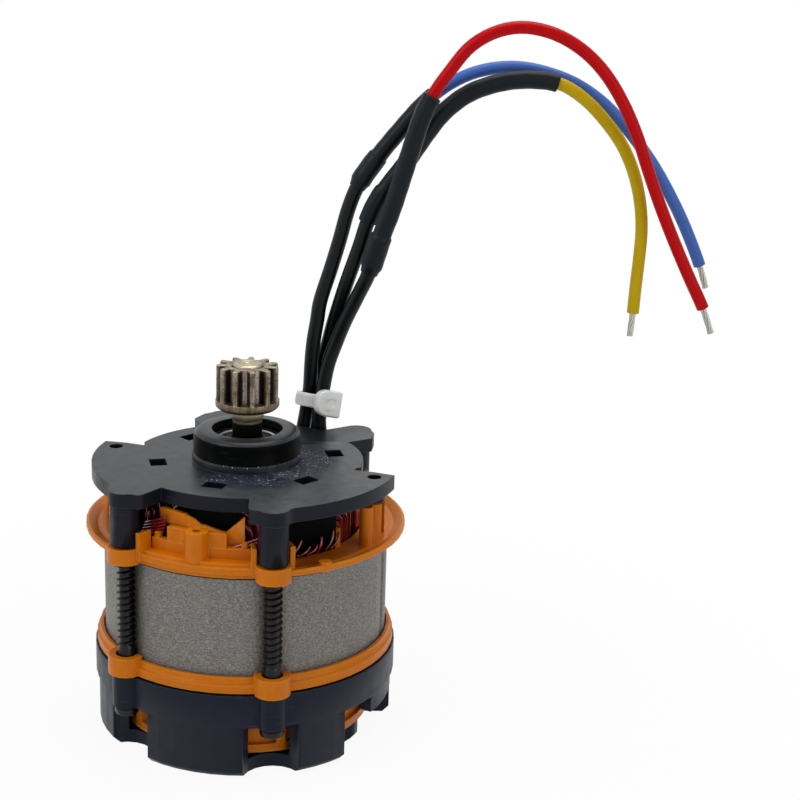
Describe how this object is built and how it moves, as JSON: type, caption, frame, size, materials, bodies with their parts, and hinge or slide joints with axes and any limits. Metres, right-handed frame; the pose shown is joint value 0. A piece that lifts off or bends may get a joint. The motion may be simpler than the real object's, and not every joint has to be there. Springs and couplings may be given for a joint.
{
  "type": "brushless tool motor",
  "caption": "Brushless motor for a cordless power tool: laminated stator in orange end insulators, black housing and front plate, toothed pinion on the shaft, tied leads with bare ends.",
  "frame": {"origin": "centre of the rear face, on the shaft's axis", "axes": "+Z along the shaft towards the pinion; -Y towards the front pair of posts; the leads rise at +Y"},
  "size_m": [0.0996, 0.0708, 0.1189],
  "materials": {
    "housing_black": "moulded, satin",
    "plate_black": "moulded, satin",
    "insulator_orange": "moulded, slightly translucent",
    "lamination_steel": "stamped sheet edges",
    "coil_enamel": "enamelled copper wire",
    "screw_black": "blackened",
    "bearing_steel": "ground",
    "shaft_steel": "ground",
    "pinion_steel": "sintered steel",
    "magnet_grey": "nickel plated",
    "disc_brass": "turned",
    "fan_black": "moulded",
    "lead_black": "satin insulation",
    "sleeve_black": "heat-shrunk sleeve",
    "wire_red": "glossy insulation",
    "wire_blue": "glossy insulation",
    "wire_yellow": "glossy insulation",
    "tinned_copper": "tinned strands",
    "tie_nylon": "translucent nylon"
  },
  "bodies": {
    "stator": {"rear_housing": "housing_black", "rear_insulator": "insulator_orange", "stator_core": "lamination_steel", "front_insulator": "insulator_orange", "front_plate": "plate_black", "through_screw_1": "screw_black", "through_screw_2": "screw_black", "through_screw_3": "screw_black", "through_screw_4": "screw_black", "coil_1": "coil_enamel", "coil_2": "coil_enamel", "coil_3": "coil_enamel", "coil_4": "coil_enamel", "coil_5": "coil_enamel", "coil_6": "coil_enamel", "front_bearing_outer": "bearing_steel", "rear_bearing_outer": "bearing_steel", "wave_washer": "bearing_steel", "blue_black_lead": "lead_black", "blue_sleeve": "sleeve_black", "blue_lead": "wire_blue", "blue_bare_end": "tinned_copper", "yellow_black_lead": "lead_black", "yellow_sleeve": "sleeve_black", "yellow_lead": "wire_yellow", "yellow_bare_end": "tinned_copper", "red_black_lead": "lead_black", "red_splice": "sleeve_black", "red_sleeve": "sleeve_black", "red_lead": "wire_red", "red_bare_end": "tinned_copper", "cable_tie": "tie_nylon"},
    "rotor": {"rotor_shaft": "shaft_steel", "rotor_core": "lamination_steel", "magnet_1": "magnet_grey", "magnet_2": "magnet_grey", "magnet_3": "magnet_grey", "magnet_4": "magnet_grey", "front_end_disc": "disc_brass", "rear_end_disc": "disc_brass", "cooling_fan": "fan_black", "pinion": "pinion_steel", "front_bearing_inner": "bearing_steel", "rear_bearing_inner": "bearing_steel"}
  },
  "joints": [
    {"name": "rotor_spin", "type": "hinge", "parent": "stator", "child": "rotor", "pos_m": [0, 0, 0], "axis": [0, 0, 1], "continuous": true}
  ]
}
